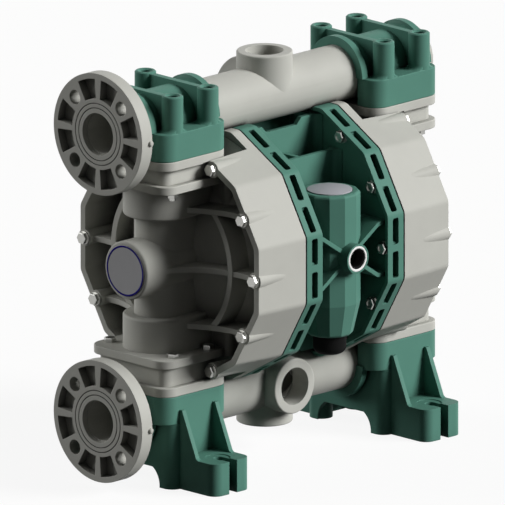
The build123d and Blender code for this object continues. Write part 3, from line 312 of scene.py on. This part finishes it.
for pipe in ("discharge", "suction"):
    low, high = (Vector(corner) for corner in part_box(pipe + "_flange"))
    centre = sum((Vector(corner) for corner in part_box(pipe + "_plug")), Vector()) / 2
    face_x, back_x = low.x, low.x + FLANGE_T
    outline = [(face_x, FLANGE_BORE_R)]
    for groove_r in GROOVES:
        outline += [
            (face_x, groove_r - GROOVE_HALF), (face_x + GROOVE_DEPTH, groove_r - GROOVE_HALF),
            (face_x + GROOVE_DEPTH, groove_r + GROOVE_HALF), (face_x, groove_r + GROOVE_HALF),
        ]
    outline += [
        (face_x, FLANGE_R), (back_x, FLANGE_R), (back_x, SOCKET_R),
        (back_x - SOCKET_DEPTH, SOCKET_R), (back_x - SOCKET_DEPTH, FLANGE_BORE_R),
    ]
    shape = bmesh.new()
    turn_outline(shape, outline, centre)
    flange = put(shape, pipe + "_flange_cored", grey)

    cuts = bmesh.new()
    for quarter in range(4):
        for start in (POCKET_FROM, math.pi / 2 - POCKET_TO):
            cut = bmesh.new()
            turn_outline(cut, [
                (face_x - CUT_OVER, HUB_R), (face_x - CUT_OVER, RIM_R),
                (face_x + POCKET_DEPTH, RIM_R), (face_x + POCKET_DEPTH, HUB_R),
            ], centre, angle=POCKET_TO - POCKET_FROM, steps=TURN_STEPS // 12)
            bmesh.ops.rotate(cut, verts=cut.verts, cent=centre, matrix=Matrix.Rotation(
                start + quarter * math.pi / 2, 3, "X"))
            bmesh.ops.remove_doubles(cut, verts=cut.verts, dist=1e-6)
            bmesh.ops.recalc_face_normals(cut, faces=cut.faces)
            mesh = bpy.data.meshes.new("cut")
            cut.to_mesh(mesh)
            cut.free()
            cuts.from_mesh(mesh)
        turn = Matrix.Rotation(math.pi / 4 + quarter * math.pi / 2, 4, "X")
        bmesh.ops.create_cone(cuts, cap_ends=True, segments=TURN_STEPS // 3, radius1=HOLE_R, radius2=HOLE_R,
                              depth=FLANGE_T + 2 * CUT_OVER, matrix=Matrix.Translation(centre) @ turn
                              @ Matrix.Translation(((face_x + back_x) / 2 - centre.x, 0, HOLE_CIRCLE_R))
                              @ Matrix.Rotation(math.pi / 2, 4, "Y"))
    cutter = put(cuts, "flange_cutter", grey)
    finish(
        flange,
        ("BOOLEAN", {"operation": "DIFFERENCE", "solver": "EXACT", "object": cutter}),
        ("BEVEL", {"width": FLANGE_EDGE, "segments": 2, "limit_method": "ANGLE",
                   "angle_limit": math.radians(40)}),
        ("WEIGHTED_NORMAL", {}),
    )
    bpy.data.objects.remove(cutter)
    hold(flange)
    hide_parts(pipe + "_flange")

    shape = bmesh.new()
    middle = Vector((back_x - NUB_R, centre.y - FLANGE_R - (NUB_OUT - NUB_IN) / 2, centre.z))
    bmesh.ops.create_cone(shape, cap_ends=True, segments=TURN_STEPS // 6, radius1=NUB_R, radius2=NUB_R,
                          depth=NUB_OUT + NUB_IN, matrix=Matrix.Translation(middle)
                          @ Matrix.Rotation(math.pi / 2, 4, "X"))
    outer = [edge for edge in shape.edges if all(v.co.y < centre.y - FLANGE_R for v in edge.verts)]
    bmesh.ops.bevel(shape, geom=outer, offset=NUB_EDGE, offset_type="OFFSET", affect="EDGES", segments=3,
                    profile=0.5, material=-1, clamp_overlap=True)
    hold(put(shape, pipe + "_flange_nub", grey))


# Feet, caps, air plates and centre block
# The same polypropylene coloured deep sea green, moulded in tools with the same skin.
GREEN = "578577"
green = moulded("green_moulded_polypropylene", GREEN, 0.40)
dress(green, *sides("air_plate", "top_cap", "foot"), "centre_block")


# Cap of the main air valve
# An unfilled plastic, so smoother and brighter than the glass filled mouldings.
cap_grey = moulded("grey_moulded_cap", "B2B2B8", 0.3)
dress(cap_grey, "valve_cap")


# Exhaust muffler
# Sintered plastic beads, so black and rough with open pores.
dress(moulded("black_sintered_plastic", "141414", 0.75, skin=0.6, skin_mm=1.6), "exhaust_muffler")


# Air inlet ring
# A white acetal ring with rounded edges, pressed into the inlet boss. The thread for
# the air hose is cut into a black glass filled bush that is moulded inside it.
INLET_R = 0.0159
BUSH_R = 0.0126
INLET_BORE_R = 0.0105
INLET_EDGE = 0.0006
BUSH_SUNK = 0.0008
BUSH_PRESS = 0.0002
PITCH = 0.0018
THREAD_DEPTH = 0.0009
white = moulded("white_moulded_acetal", "F2F2F0", 0.35)
low, high = (Vector(corner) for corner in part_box("inlet_insert"))
centre = (low + high) / 2
shape = bmesh.new()
turn_outline(shape, [
    (low.y, BUSH_R + INLET_EDGE), (low.y, INLET_R - INLET_EDGE), (low.y + INLET_EDGE, INLET_R),
    (high.y, INLET_R), (high.y, BUSH_R), (low.y + INLET_EDGE, BUSH_R),
], centre, along=1)
ring = put(shape, "inlet_ring", white)
hold(ring)
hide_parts("inlet_insert")
bush_y = low.y + BUSH_SUNK
outline = [(bush_y, BUSH_R + BUSH_PRESS), (high.y, BUSH_R + BUSH_PRESS), (high.y, INLET_BORE_R)]
for turn in range(int((high.y - bush_y) / PITCH) - 1, 0, -1):
    outline.append((bush_y + (turn + 0.5) * PITCH, INLET_BORE_R + THREAD_DEPTH))
    outline.append((bush_y + turn * PITCH, INLET_BORE_R))
shape = bmesh.new()
turn_outline(shape, outline, centre, along=1)
hold(put(shape, "inlet_thread", moulded("black_moulded_bush", "101010", 0.4)))


# Boss discs
# A plain grey disc pressed into the end of each casing's snout, with one blue ring
# printed near its rim. The print is a raised film of paint.
DISC_GREY = "B4B4B6"
RING_BLUE = "1A0F78"
RING_R = 0.0300
RING_W = 0.0023
RING_PROUD = 0.00015
disc_paint = moulded("grey_moulded_disc", DISC_GREY, 0.35)
dress(disc_paint, *sides("boss_disc"))
blue_paint = moulded("blue_printed_paint", RING_BLUE, 0.3)
for side, way in (("left", -1), ("right", 1)):
    low, high = (Vector(corner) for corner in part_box("boss_disc_" + side))
    face_x = low.x if way < 0 else high.x
    shape = bmesh.new()
    turn_outline(shape, [
        (face_x + way * out, RING_R + reach)
        for out, reach in (
            (-RING_PROUD, -RING_W / 2), (RING_PROUD, -RING_W / 2),
            (RING_PROUD, RING_W / 2), (-RING_PROUD, RING_W / 2),
        )
    ], (low + high) / 2)
    hold(put(shape, "blue_ring_" + side, blue_paint))


# Seats, guides and shaft bushes
# Turned from natural white bar plastic.
natural = moulded("natural_turned_plastic", "DCDCD4", 0.4)
dress(natural, *sides("discharge_seat", "suction_seat"), "discharge_guides", "suction_guides", "shaft_bushes")


# Diaphragms, gaskets and valve balls
# Black rubber, moulded and then ground where it seals: matt, with a faint bloom.
rubber = moulded("black_moulded_rubber", "151515", 0.7)
dress(rubber, *sides("diaphragm", "discharge_ball", "suction_ball"), "cage_gaskets", "branch_gaskets")


# Bolts, nuts, washers, shaft and clamping discs
# Stainless steel, cold headed and tumbled: bright, with a fine turned grain and
# slightly broken edges.
def metal(name, colour, roughness):
    """Bright metal with a fine grain."""
    material, tree, shader, place = new_material(name)
    shader.inputs["Base Color"].default_value = linear(colour)
    shader.inputs["Metallic"].default_value = 1.0
    grain = add(tree, "ShaderNodeTexNoise", values={"Scale": 900.0, "Detail": 3.0}, links={"Vector": place})
    gloss = add(tree, "ShaderNodeMapRange", values={
        "To Min": roughness - 0.06, "To Max": roughness + 0.08,
    }, links={"Value": grain.outputs["Fac"]})
    soft_edge = add(tree, "ShaderNodeBevel", {"samples": 6}, {"Radius": 0.0005})
    tree.links.new(gloss.outputs["Result"], shader.inputs["Roughness"])
    tree.links.new(soft_edge.outputs["Normal"], shader.inputs["Normal"])
    return material


steel = metal("stainless_steel_bright", "ACACA8", 0.28)
dress(steel, *sides("casing_bolts", "inner_disc"), "casing_washers", "casing_nuts", "hub_screws", "shaft",
      "pilot_pin", "clamp_bolts_top", "clamp_bolts_bottom", "clamp_nuts_top", "clamp_nuts_bottom")


# Sleeve and spool of the main air valve
# Aluminium, turned and clear anodised.
anodised = metal("clear_anodised_aluminium", "C4C4C8", 0.35)
dress(anodised, "valve_sleeve", "valve_spool")
